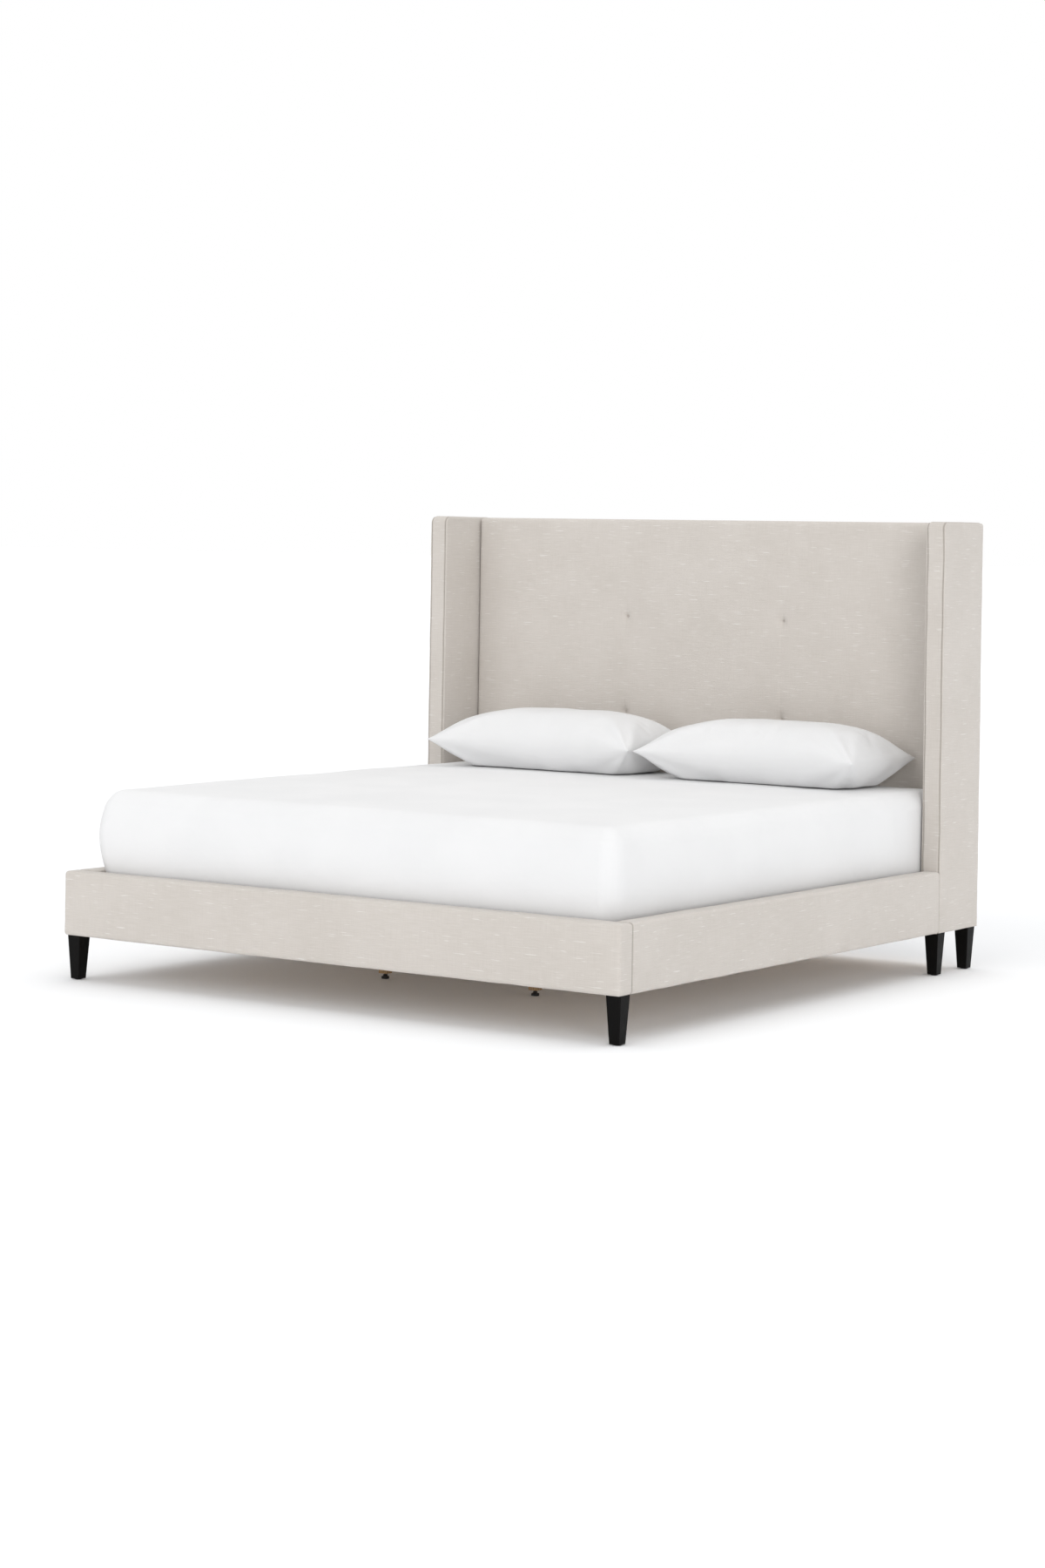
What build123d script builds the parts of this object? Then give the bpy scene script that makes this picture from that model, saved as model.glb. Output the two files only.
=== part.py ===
from build123d import *
import os

# Upholstered king bed with a winged, tufted headboard, on tapered legs.
# Millimetres. +Z is up, +Y runs from the foot to the headboard, +X is to the right of
# someone facing the headboard. The origin is on the floor at the middle of the footprint.

# Mattress, a standard king size
mattress_width = 1930
mattress_length = 2032
mattress_height = 318
mattress_corner = 60
mattress_edge = 40

# Pillows, lying flat in front of the headboard
pillow_depth = 450
pillow_height = 205
pillow_gap = 30
pillow_side_gap = 116
pillow_head_gap = 16

# Gaps around the mattress
wing_side_gap = 8
foot_gap = 14
head_gap = 8
resting_gap = 0.3

# Heights
headboard_height = 1485
leg_height = 140
rail_height = 202
deck_drop = 55

# Rails, wings and their foam and fabric
rail_thickness = 62
wing_thickness = 70
wing_depth = 276
cover_outside = 14
cover_inside = 10
cover_top = 12
cover_under = 3
wing_cover_front = 16
wing_cover_back = 6
cover_edge = 10

# Headboard panel between the wings, from the wall forwards
back_cloth_thickness = 3
frame_thickness = 28
board_thickness = 12
pad_thickness = 35
pad_top = 16
pad_side_gap = 5
stile_width = 70
frame_rail_height = 90
tuft_spread = 640
tuft_heights = (800, 1140)
tuft_radius = 16
tuft_depth = 14

# Slat deck
ledger_size = 38
beam_width = 38
beam_height = 64
beam_spread = 580
slat_count = 11
slat_width = 90
slat_thickness = 19
slat_end_gap = 5
slat_first_gap = 20

# Legs
leg_top = 50
leg_bottom = 34
leg_side_inset = 6
leg_foot_inset = 14
leg_wing_inset = 4
leg_back_inset = 8
glide_radius = 11
glide_thickness = 3
centre_leg_size = 32
centre_leg_shares = (0.304, 0.667)
leveller_radius = 12.5
leveller_pad = 8
leveller_height = 18
leveller_stud = 3.8
leveller_clearance = 0.2
leveller_reach = 40

# Ironwork
plate_thickness = 3
plate_reach = 60
plate_margin = 10
hanger_thickness = 2.5
hanger_reach = 40
hanger_flange = 20
bolt_radius = 4
bolt_head_radius = 8
bolt_head_height = 4
bolt_grip = 28
screw_radius = 2.2
screw_head_radius = 4.4
screw_head_height = 2.5
hole_clearance = 0.1
tee_nut_radius = 11
tee_nut_barrel = 5.2
tee_nut_length = 14

# Places worked out from the sizes above
half_width = mattress_width / 2 + wing_side_gap + wing_thickness
headboard_thickness = back_cloth_thickness + frame_thickness + board_thickness + pad_thickness
overall_length = rail_thickness + foot_gap + mattress_length + head_gap + headboard_thickness
foot_y = -overall_length / 2
head_y = overall_length / 2
foot_inner_y = foot_y + rail_thickness
wing_front_y = head_y - wing_depth
board_face_y = head_y - headboard_thickness + pad_thickness
pad_face_y = board_face_y - pad_thickness
frame_front_y = board_face_y + board_thickness
frame_back_y = head_y - back_cloth_thickness
rail_inner_x = half_width - rail_thickness
wing_inner_x = half_width - wing_thickness
rail_top = leg_height + rail_height
deck_z = rail_top - deck_drop
ledger_top = deck_z - slat_thickness
ledger_bottom = ledger_top - ledger_size
beam_bottom = ledger_top - beam_height
core_outer_x = half_width - cover_outside
rail_core_inner_x = rail_inner_x + cover_inside
core_bottom = leg_height + cover_under
core_top = rail_top - cover_top
foot_core_y = (foot_y + cover_outside, foot_inner_y - cover_inside)
foot_core_mid_y = sum(foot_core_y) / 2
wing_core_x = (wing_inner_x + cover_outside, core_outer_x)
wing_core_mid_x = sum(wing_core_x) / 2
panel_top = headboard_height - pad_top
mattress_bottom = deck_z + resting_gap
mattress_foot_y = foot_inner_y + foot_gap
pillow_bottom = mattress_bottom + mattress_height + resting_gap
pillow_length = (mattress_width - pillow_gap) / 2 - pillow_side_gap
left_and_right = {"left": -1, "right": 1}
turns = {
    "+X": (0, 90, 0),
    "-X": (0, -90, 0),
    "+Y": (-90, 0, 0),
    "-Y": (90, 0, 0),
    "+Z": (0, 0, 0),
    "-Z": (180, 0, 0),
}
opposite = {"+X": "-X", "-X": "+X", "+Y": "-Y", "-Y": "+Y", "+Z": "-Z", "-Z": "+Z"}
nodes = {}


def block(x_range, y_range, z_range):
    """A box between two values on each axis, given in either order."""
    middle = [sum(pair) / 2 for pair in (x_range, y_range, z_range)]
    sizes = [abs(pair[1] - pair[0]) for pair in (x_range, y_range, z_range)]
    return Pos(*middle) * Box(*sizes)


def bar(radius, length, start, heading):
    """A round bar from a start point along one axis."""
    body = Cylinder(radius, length, align=(Align.CENTER, Align.CENTER, Align.MIN))
    return Pos(*start) * Rot(*turns[heading]) * body


def bolt(start, heading, length, grow=0.0):
    """A flat-headed bolt whose head sits on the surface at start; grow makes its hole."""
    shank = bar(bolt_radius + grow, length + grow, start, heading)
    head = bar(bolt_head_radius + grow, bolt_head_height, start, opposite[heading])
    return shank + head


def screw(start, heading, length, grow=0.0):
    """A countersunk wood screw, flush with the surface at start; grow makes its hole."""
    shank = bar(screw_radius + grow, length + grow, start, heading)
    head_shape = Cone(
        screw_head_radius + grow,
        screw_radius + grow,
        screw_head_height,
        align=(Align.CENTER, Align.CENTER, Align.MIN),
    )
    head = Pos(*start) * Rot(*turns[heading]) * head_shape
    return shank + head


def mirrored(shape, side):
    """The right-hand shape itself, or its mirror image for the left."""
    return shape if side > 0 else mirror(shape, about=Plane.YZ)


def add(name, shape):
    """Keep a finished piece, or a list of like pieces, under its node name."""
    nodes[name] = shape


def round_edges(shape, radius, keep):
    """Round the edges whose middle point passes the keep test."""
    edges = [edge for edge in shape.edges() if keep(edge @ 0.5)]
    return fillet(edges, radius)


# Fasteners of the right-hand side; the left-hand ones mirror them


def ledger_screws():
    """Screws through the right ledger into the side rail's core."""
    places = spaced(foot_inner_y + plate_reach, wing_front_y - plate_reach, 8)
    middle_z = (ledger_top + ledger_bottom) / 2
    start_x = rail_inner_x - ledger_size
    length = ledger_size + cover_inside + bolt_grip / 2
    return [((start_x, y, middle_z), "+X", length) for y in places]


def plate_heights():
    """Lowest and highest point of the corner plates, below the ledgers."""
    return leg_height + plate_margin, ledger_bottom - plate_margin / 2


def spaced(first, last, count):
    """Evenly spaced values from first to last."""
    return [first + (last - first) * i / (count - 1) for i in range(count)]


def corner_bolts():
    """Bolts through the right corner bracket into the foot rail and the side rail."""
    low, high = plate_heights()
    middle_z = (low + high) / 2
    face_y = foot_inner_y + plate_thickness
    face_x = rail_inner_x - plate_thickness
    into_foot = plate_thickness + cover_inside + bolt_grip * 0.75
    bolts = []
    for share in (0.4, 0.8):
        along = plate_reach * share
        bolts.append(((rail_inner_x - along, face_y, middle_z), "-Y", into_foot))
        bolts.append(((face_x, foot_inner_y + along, middle_z), "+X", into_foot))
    return bolts


def joint_bolts():
    """Bolts through the right joint plate into the side rail and the wing."""
    low, high = plate_heights()
    middle_z = (low + high) / 2
    bolts = []
    for share in (0.4, 0.8):
        along = plate_reach * share
        rail_start = (rail_inner_x - plate_thickness, wing_front_y - along, middle_z)
        wing_start = (wing_inner_x - plate_thickness, wing_front_y + along, middle_z)
        rail_length = plate_thickness + cover_inside + bolt_grip * 0.75
        wing_length = plate_thickness + cover_outside + bolt_grip * 0.75
        bolts.append((rail_start, "+X", rail_length))
        bolts.append((wing_start, "+X", wing_length))
    return bolts


def wing_bolts():
    """Bolts from the right stile, through the wing's cover, into the wing's core."""
    middle_y = (frame_front_y + frame_back_y) / 2
    start_x = wing_inner_x - stile_width
    length = stile_width + cover_outside + bolt_grip
    low = leg_height + 2 * frame_rail_height
    high = panel_top - 2 * frame_rail_height
    return [((start_x, middle_y, z), "+X", length) for z in spaced(low, high, 3)]


def corner_leg_places():
    """Centre of each right-hand corner leg and the place of the bolt in its top."""
    leg_x = half_width - leg_side_inset - leg_top / 2
    foot_leg_y = foot_y + leg_foot_inset + leg_top / 2
    front_leg_y = wing_front_y + leg_wing_inset + leg_top / 2
    back_leg_y = head_y - leg_back_inset - leg_top / 2
    return {
        "foot": ((leg_x, foot_leg_y), (leg_x, foot_core_mid_y)),
        "wing_front": ((leg_x, front_leg_y), (wing_core_mid_x, front_leg_y)),
        "wing_back": ((leg_x, back_leg_y), (wing_core_mid_x, back_leg_y)),
    }


def leg_bolt(place, grow=0.0):
    """A headless bolt from inside the leg to just above the tee nut in the core."""
    low = leg_height - bolt_grip * 1.5 - grow
    high = core_bottom + tee_nut_length + plate_thickness + grow
    return bar(bolt_radius + grow, high - low, (place[0], place[1], low), "+Z")


def tee_nut(place, grow=0.0):
    """The flanged nut in the core's underside that takes a leg bolt."""
    flange_bottom = core_bottom - plate_thickness / 2
    flange = bar(tee_nut_radius + grow, plate_thickness / 2, (*place, flange_bottom), "+Z")
    barrel = bar(tee_nut_barrel + grow, tee_nut_length + grow, (*place, core_bottom), "+Z")
    return flange + barrel


def leg_sockets(shape, names):
    """Cut the nut and bolt room of the named right-hand legs out of a core or cover."""
    places = corner_leg_places()
    for name in names:
        bolt_place = places[name][1]
        shape -= tee_nut(bolt_place, hole_clearance)
        shape -= leg_bolt(bolt_place, hole_clearance)
        shape -= bar(tee_nut_radius + 1, cover_under, (*bolt_place, leg_height), "+Z")
    return shape


def cut_all(shape, maker, fasteners):
    """Cut the holes of a list of fasteners out of a right-hand shape."""
    for start, heading, length in fasteners:
        shape -= maker(start, heading, length, hole_clearance)
    return shape


def make_foot_rail():
    """The foot rail: a timber core in a foam and fabric cover that wraps its ends."""
    core_x = (-core_outer_x, core_outer_x)
    core = block(core_x, foot_core_y, (core_bottom, core_top))
    outer = block((-half_width, half_width), (foot_y, foot_inner_y), (leg_height, rail_top))
    outer = round_edges(
        outer,
        cover_edge,
        lambda p: p.Z > leg_height + 1 and p.Y < foot_inner_y - 1,
    )
    cover = outer - core
    hangers = [item for item in hanger_screws() if item[1] == "-Y"]
    for name, shape in (("foot_rail_core", core), ("foot_rail_cover", cover)):
        for side in left_and_right.values():
            shape = leg_sockets(mirrored(shape, side), ["foot"])
            shape = cut_all(shape, bolt, corner_bolts()[0::2])
            shape = mirrored(cut_all(shape, screw, hangers), side)
        add(name, shape)


def make_side_rails():
    """Each side rail runs from the foot rail's inner face to the wing's front face."""
    rail_y = (foot_inner_y, wing_front_y)
    core = block((rail_core_inner_x, core_outer_x), rail_y, (core_bottom, core_top))
    outer = block((rail_inner_x, half_width), rail_y, (leg_height, rail_top))
    outer = round_edges(
        outer,
        cover_edge,
        lambda p: p.Z > rail_top - 1 and foot_inner_y + 1 < p.Y < wing_front_y - 1,
    )
    cover = outer - core
    for maker, fasteners in (
        (bolt, corner_bolts()[1::2]),
        (bolt, joint_bolts()[0::2]),
        (screw, ledger_screws()),
    ):
        core = cut_all(core, maker, fasteners)
        cover = cut_all(cover, maker, fasteners)
    leg_gap = leg_sockets(cover, ["foot"])
    for name, side in left_and_right.items():
        add("side_rail_core_" + name, mirrored(leg_sockets(core, ["foot"]), side))
        add("side_rail_cover_" + name, mirrored(leg_gap, side))


def make_wings():
    """Each wing: a built-up timber core in a foam and fabric cover."""
    core_y = (wing_front_y + wing_cover_front, head_y - wing_cover_back)
    core_z = (core_bottom, headboard_height - pad_top)
    core = block(wing_core_x, core_y, core_z)
    outer = block((wing_inner_x, half_width), (wing_front_y, head_y), (leg_height, headboard_height))
    outer = round_edges(
        outer,
        cover_edge,
        lambda p: (p.Z > headboard_height - 1 or p.Y < wing_front_y + 1)
        and p.Z > leg_height + 1
        and p.Y < head_y - 1,
    )
    cover = outer - core
    legs = ["wing_front", "wing_back"]
    for maker, fasteners in ((bolt, joint_bolts()[1::2]), (bolt, wing_bolts())):
        core = cut_all(core, maker, fasteners)
        cover = cut_all(cover, maker, fasteners)
    for name, side in left_and_right.items():
        add("wing_core_" + name, mirrored(leg_sockets(core, legs), side))
        add("wing_cover_" + name, mirrored(leg_sockets(cover, legs), side))


def tuft_places():
    """Where the four tufts are pulled in, as x and z."""
    return [(side * tuft_spread / 2, z) for side in (-1, 1) for z in tuft_heights]


def make_headboard_panel():
    """The panel between the wings: timber frame, board, tufted pad and back cloth."""
    frame_y = (frame_front_y, frame_back_y)
    inside = (-wing_inner_x, wing_inner_x)
    top_rail = block(inside, frame_y, (panel_top - frame_rail_height, panel_top))
    bottom_rail = block(inside, frame_y, (leg_height, leg_height + frame_rail_height))
    stile_z = (leg_height + frame_rail_height, panel_top - frame_rail_height)
    stile = block((wing_inner_x - stile_width, wing_inner_x), frame_y, stile_z)
    stile = cut_all(stile, bolt, wing_bolts())
    hangers = [item for item in hanger_screws() if item[1] == "+Y"]
    add("headboard_top_rail", top_rail)
    add("headboard_bottom_rail", bottom_rail)
    add("headboard_stile_centre", block((-stile_width / 2, stile_width / 2), frame_y, stile_z))
    for name, side in left_and_right.items():
        add("headboard_stile_" + name, mirrored(stile, side))
    board = block(inside, (board_face_y, frame_front_y), (leg_height, panel_top))
    for x, z in tuft_places():
        board -= bar(bolt_radius, board_thickness, (x, board_face_y, z), "+Y")
    add("headboard_board", board)
    cleat = block(inside, (pad_face_y, board_face_y), (leg_height, deck_z))
    for side in left_and_right.values():
        cleat = mirrored(cut_all(mirrored(cleat, side), screw, hangers), side)
    add("head_cleat", cleat)
    make_pad()
    cloth_y = (frame_back_y, head_y)
    cloth_z = (leg_height + cover_under, panel_top + cover_under)
    add("headboard_back_cloth", block(inside, cloth_y, cloth_z))


def make_pad():
    """The tufted foam and fabric pad, folded over the top of the board and frame."""
    pad_x = (-wing_inner_x + pad_side_gap, wing_inner_x - pad_side_gap)
    front = block(pad_x, (pad_face_y, board_face_y), (deck_z + cover_edge, headboard_height))
    over_top = block(pad_x, (board_face_y, frame_back_y), (panel_top, headboard_height))
    pad = front + over_top
    pad = round_edges(
        pad,
        cover_edge,
        lambda p: p.Y < pad_face_y + 1 or p.Z > headboard_height - 1 and p.Y < frame_back_y - 1,
    )
    ties = []
    for x, z in tuft_places():
        face = (x, pad_face_y, z)
        dimple = Cone(tuft_radius, 2, tuft_depth, align=(Align.CENTER, Align.CENTER, Align.MIN))
        pad -= Pos(*face) * Rot(*turns["+Y"]) * dimple
        pad -= bar(2, pad_thickness, face, "+Y")
        knot = Pos(x, pad_face_y + tuft_depth, z) * Sphere(1.8)
        twine_length = frame_front_y - pad_face_y - tuft_depth
        twine = bar(1, twine_length, (x, pad_face_y + tuft_depth, z), "+Y")
        toggle = bar(tuft_radius, 2, (x, frame_front_y, z), "+Y")
        ties.append(knot + twine + toggle)
    add("headboard_pad", pad)
    add("tuft_ties", ties)


def hanger_screws():
    """Screws through the right-hand beam hangers, at the foot rail and the head cleat."""
    screws = []
    beam_x = beam_spread / 2
    half = beam_width / 2 + hanger_thickness + hanger_flange / 2
    middle_z = (beam_bottom + ledger_top) / 2
    into_foot = hanger_thickness + cover_inside + bolt_grip / 2
    for offset in (-half, half):
        foot_start = (beam_x + offset, foot_inner_y + hanger_thickness, middle_z)
        head_start = (beam_x + offset, pad_face_y - hanger_thickness, middle_z)
        screws.append((foot_start, "-Y", into_foot))
        screws.append((head_start, "+Y", pad_thickness - 2))
    return screws


def hanger(face_y, heading):
    """A stirrup for the right-hand beam's end; heading is +1 towards the headboard."""
    x = beam_spread / 2
    half = beam_width / 2
    wide = half + hanger_thickness
    back_y = (face_y, face_y + heading * hanger_thickness)
    cup_y = (face_y, face_y + heading * hanger_reach)
    seat_z = (beam_bottom - hanger_thickness, beam_bottom)
    top_z = ledger_top - plate_thickness
    flange = wide + hanger_flange
    shape = block((x - flange, x + flange), back_y, (seat_z[0], top_z))
    shape += block((x - wide, x + wide), cup_y, seat_z)
    for side in (-1, 1):
        cheek_x = (x + side * half, x + side * wide)
        shape += block(cheek_x, cup_y, (beam_bottom, top_z))
    return cut_all(shape, screw, hanger_screws())


def make_beams():
    """Two beams from the foot rail to the head cleat, each with two legs and hangers."""
    beam_y = (foot_inner_y + hanger_thickness, pad_face_y - hanger_thickness)
    x = beam_spread / 2
    beam_x = (x - beam_width / 2, x + beam_width / 2)
    beam = block(beam_x, beam_y, (beam_bottom, ledger_top))
    leg_ys = {
        name: foot_inner_y + share * (pad_face_y - foot_inner_y)
        for name, share in zip(("foot", "head"), centre_leg_shares)
    }
    bolts = []
    half = centre_leg_size / 2
    for end, y in leg_ys.items():
        start = (x, y, beam_bottom - bolt_grip)
        beam -= bar(bolt_radius + hole_clearance, 2 * bolt_grip, start, "+Z")
        leg = block((x - half, x + half), (y - half, y + half), (leveller_height, beam_bottom))
        vertical = [edge for edge in leg.edges() if abs(edge.tangent_at(0.5).Z) > 0.9]
        leg = fillet(vertical, 2)
        leg -= bar(bolt_radius + hole_clearance, bolt_grip + 1, (x, y, beam_bottom - bolt_grip - 1), "+Z")
        bore = leveller_stud + leveller_clearance
        leg -= bar(bore, leveller_reach + 4, (x, y, leveller_height), "+Z")
        foot = leveller(x, y)
        rod = bar(bolt_radius, 2 * bolt_grip - 1, start, "+Z")
        for name, side in left_and_right.items():
            add("centre_leg_" + end + "_" + name, mirrored(leg, side))
            add("leveller_" + end + "_" + name, mirrored(foot, side))
            bolts.append(mirrored(rod, side))
    hangers = []
    for name, side in left_and_right.items():
        add("centre_beam_" + name, mirrored(beam, side))
        hangers.append(mirrored(hanger(foot_inner_y, 1), side))
        hangers.append(mirrored(hanger(pad_face_y, -1), side))
    add("beam_hangers", hangers)
    return bolts


def leveller(x, y):
    """A screw foot: round pad, hexagon for the spanner, and a stud up into the leg."""
    pad = bar(leveller_radius, leveller_pad, (x, y, 0), "+Z")
    pad = round_edges(pad, 1.5, lambda p: True)
    hexagon = RegularPolygon(6.5, 6, major_radius=False)
    nut = extrude(Pos(x, y, leveller_pad) * hexagon, 6)
    stud_length = leveller_height + leveller_reach - leveller_pad
    stud = bar(leveller_stud, stud_length, (x, y, leveller_pad), "+Z")
    return pad + nut + stud


def make_ledgers():
    """The ledgers along the side rails, notched where they pass the thicker wings."""
    ledger_x = (rail_inner_x - ledger_size, rail_inner_x)
    ledger_y = (foot_inner_y, pad_face_y)
    ledger = block(ledger_x, ledger_y, (ledger_bottom, ledger_top))
    wing = block((wing_inner_x, half_width), (wing_front_y, head_y), (leg_height, rail_top))
    ledger = cut_all(ledger - wing, screw, ledger_screws())
    for x in slat_screw_xs():
        for y in slat_screw_ys():
            ledger -= screw((x, y, deck_z), "-Z", slat_screw_length(), hole_clearance)
    for name, side in left_and_right.items():
        add("ledger_" + name, mirrored(ledger, side))


def slat_end_x():
    """How far each slat reaches from the middle, clear of the wings."""
    return min(wing_inner_x, rail_inner_x) - slat_end_gap


def slat_screw_xs():
    """The right-hand screw line over the ledger."""
    ledger_inner = rail_inner_x - ledger_size
    return [(ledger_inner + slat_end_x()) / 2]


def slat_centres():
    """Where the slats lie, from the foot rail to the head cleat."""
    first = foot_inner_y + slat_first_gap + slat_width / 2
    last = pad_face_y - slat_first_gap - slat_width / 2
    return spaced(first, last, slat_count)


def slat_screw_ys():
    """Two screws across the width of each slat."""
    return [y + offset * slat_width / 4 for y in slat_centres() for offset in (-1, 1)]


def slat_screw_length():
    """Screws pass the slat and most of the ledger, clear of the ledger's own screws."""
    return slat_thickness + ledger_size * 0.35


def make_slats():
    """The slats, screwed down to the ledgers at both ends."""
    end_x = slat_end_x()
    screws = []
    for index, y in enumerate(slat_centres()):
        slat_y = (y - slat_width / 2, y + slat_width / 2)
        slat = block((-end_x, end_x), slat_y, (ledger_top, deck_z))
        slat = round_edges(slat, 2, lambda p: abs(p.Z - ledger_top) < 0.1 or p.Z > deck_z - 0.1)
        for offset in (-1, 1):
            for x in slat_screw_xs():
                for side in (-1, 1):
                    start = (side * x, y + offset * slat_width / 4, deck_z)
                    slat -= screw(start, "-Z", slat_screw_length(), hole_clearance)
                    screws.append(screw(start, "-Z", slat_screw_length()))
        add("slat_%02d" % (index + 1), slat)
    add("slat_screws", screws)


def make_corner_legs(centre_leg_bolts):
    """Six square tapered legs, with their glides and nuts, and every leg's bolt."""
    glides = []
    bolts = list(centre_leg_bolts)
    nuts = []
    for place_name, (centre, bolt_place) in corner_leg_places().items():
        top = Plane((*centre, leg_height)) * Rectangle(leg_top, leg_top)
        bottom = Plane((*centre, glide_thickness)) * Rectangle(leg_bottom, leg_bottom)
        leg = loft([bottom, top])
        leg = round_edges(leg, 2, lambda p: glide_thickness + 1 < p.Z < leg_height - 1)
        leg -= leg_bolt(bolt_place, hole_clearance)
        glide = bar(glide_radius, glide_thickness, (*centre, 0), "+Z")
        pin = bar(1.25, 15, (*centre, glide_thickness), "+Z")
        leg -= bar(1.35, 15.1, (*centre, glide_thickness), "+Z")
        for name, side in left_and_right.items():
            add("leg_" + place_name + "_" + name, mirrored(leg, side))
            glides.append(mirrored(glide + pin, side))
            bolts.append(mirrored(leg_bolt(bolt_place), side))
            nut = tee_nut(bolt_place) - leg_bolt(bolt_place, hole_clearance)
            nuts.append(mirrored(nut, side))
    add("leg_glides", glides)
    add("leg_bolts", bolts)
    add("leg_tee_nuts", nuts)


def make_joint_plates():
    """Corner brackets at the foot, cranked plates from the side rails to the wings."""
    low, high = plate_heights()
    face_x = rail_inner_x - plate_thickness
    along_foot = block(
        (rail_inner_x - plate_reach, rail_inner_x),
        (foot_inner_y, foot_inner_y + plate_thickness),
        (low, high),
    )
    along_side = block(
        (face_x, rail_inner_x),
        (foot_inner_y, foot_inner_y + plate_reach),
        (low, high),
    )
    bracket = cut_all(along_foot + along_side, bolt, corner_bolts())
    plate_y = (wing_front_y - plate_reach, wing_front_y + plate_reach)
    wing_face_x = wing_inner_x - plate_thickness
    on_rail = block((face_x, rail_inner_x), (plate_y[0], wing_front_y), (low, high))
    on_wing = block((wing_face_x, wing_inner_x), (wing_front_y, plate_y[1]), (low, high))
    crank_x = (min(face_x, wing_face_x), max(rail_inner_x, wing_inner_x))
    crank = block(crank_x, (wing_front_y - plate_thickness, wing_front_y), (low, high))
    crank -= block((rail_inner_x, half_width), (foot_y, head_y), (low, high))
    plate = cut_all(on_rail + on_wing + crank, bolt, joint_bolts())
    sides = left_and_right.values()
    add("joint_plates", [mirrored(shape, side) for shape in (bracket, plate) for side in sides])


def make_fasteners():
    """The fasteners of both sides, each kind as one group."""
    groups = {
        "joint_bolts": (bolt, corner_bolts() + joint_bolts() + wing_bolts()),
        "timber_screws": (screw, ledger_screws() + hanger_screws()),
    }
    for name, (maker, fasteners) in groups.items():
        pieces = []
        for start, heading, length in fasteners:
            for side in left_and_right.values():
                pieces.append(mirrored(maker(start, heading, length), side))
        add(name, pieces)


def make_mattress():
    """The mattress, a plain block with rounded corners and edges."""
    foot_end = mattress_foot_y
    shape = block(
        (-mattress_width / 2, mattress_width / 2),
        (foot_end, foot_end + mattress_length),
        (mattress_bottom, mattress_bottom + mattress_height),
    )
    upright = [edge for edge in shape.edges() if abs(edge.tangent_at(0.5).Z) > 0.9]
    shape = fillet(upright, mattress_corner)
    top = mattress_bottom + mattress_height
    shape = round_edges(shape, mattress_edge, lambda p: abs(p.Z - top) < 0.1)
    add("mattress", shape)


def make_pillows():
    """Two plump pillows, each a closed solid that thins towards its seam."""
    middle_x = (pillow_gap + pillow_length) / 2
    middle_y = pad_face_y - pillow_head_gap - pillow_depth / 2
    levels = ((0.0, 0.55), (0.22, 0.84), (0.5, 1.0), (0.78, 0.84), (1.0, 0.55))
    outlines = []
    for rise, spread in levels:
        trim = (1 - spread) * pillow_depth
        centre = (middle_x, middle_y, pillow_bottom + rise * pillow_height)
        outlines.append(Plane(centre) * Rectangle(pillow_length - trim, pillow_depth - trim))
    pillow = loft(outlines, ruled=True)
    for name, side in left_and_right.items():
        add("pillow_" + name, mirrored(pillow, side))


def write_nodes():
    """Write each node to its own STEP file."""
    os.makedirs("parts", exist_ok=True)
    for name, shape in nodes.items():
        if isinstance(shape, list):
            solids = [solid for piece in shape for solid in piece.solids()]
            shape = Compound(children=solids)
        export_step(shape, "parts/" + name + ".step")
    print("nodes", len(nodes))


make_foot_rail()
make_side_rails()
make_wings()
make_headboard_panel()
centre_leg_bolts = make_beams()
make_ledgers()
make_slats()
make_corner_legs(centre_leg_bolts)
make_joint_plates()
make_fasteners()
make_mattress()
make_pillows()
write_nodes()
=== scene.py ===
import math
import bpy
import numpy as np
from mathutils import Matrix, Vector, noise


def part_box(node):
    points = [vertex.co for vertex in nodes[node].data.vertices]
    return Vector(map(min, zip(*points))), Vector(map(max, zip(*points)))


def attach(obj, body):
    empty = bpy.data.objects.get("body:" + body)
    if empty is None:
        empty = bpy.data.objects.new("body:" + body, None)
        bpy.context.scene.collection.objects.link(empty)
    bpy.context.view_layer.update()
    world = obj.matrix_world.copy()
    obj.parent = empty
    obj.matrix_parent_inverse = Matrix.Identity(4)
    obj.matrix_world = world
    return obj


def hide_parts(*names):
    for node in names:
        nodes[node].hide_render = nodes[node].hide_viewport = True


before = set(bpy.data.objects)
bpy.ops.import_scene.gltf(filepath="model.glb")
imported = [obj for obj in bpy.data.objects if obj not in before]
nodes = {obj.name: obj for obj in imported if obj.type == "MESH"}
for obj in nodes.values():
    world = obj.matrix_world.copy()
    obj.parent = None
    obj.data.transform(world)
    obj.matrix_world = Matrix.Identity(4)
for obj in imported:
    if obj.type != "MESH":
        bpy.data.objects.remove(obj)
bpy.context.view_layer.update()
sides = {"left": -1, "right": 1}
tiny = 1e-9  # keeps a division from meeting zero
loopGap = 0.0008  # loops nearer than this become one


def deselectAll():
    if bpy.context.mode != "OBJECT":
        bpy.ops.object.mode_set(mode="OBJECT")
    bpy.ops.object.select_all(action="DESELECT")


def pick(piece):
    deselectAll()
    piece.select_set(True)
    bpy.context.view_layer.objects.active = piece


def readVertices(piece, field):
    flat = np.zeros(len(piece.data.vertices) * 3)
    piece.data.vertices.foreach_get(field, flat)
    return flat.reshape(-1, 3)


def readPoints(piece):
    return readVertices(piece, "co")


def readNormals(piece):
    return readVertices(piece, "normal")


def writePoints(piece, points):
    piece.data.vertices.foreach_set("co", points.ravel())
    piece.data.update()


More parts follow.
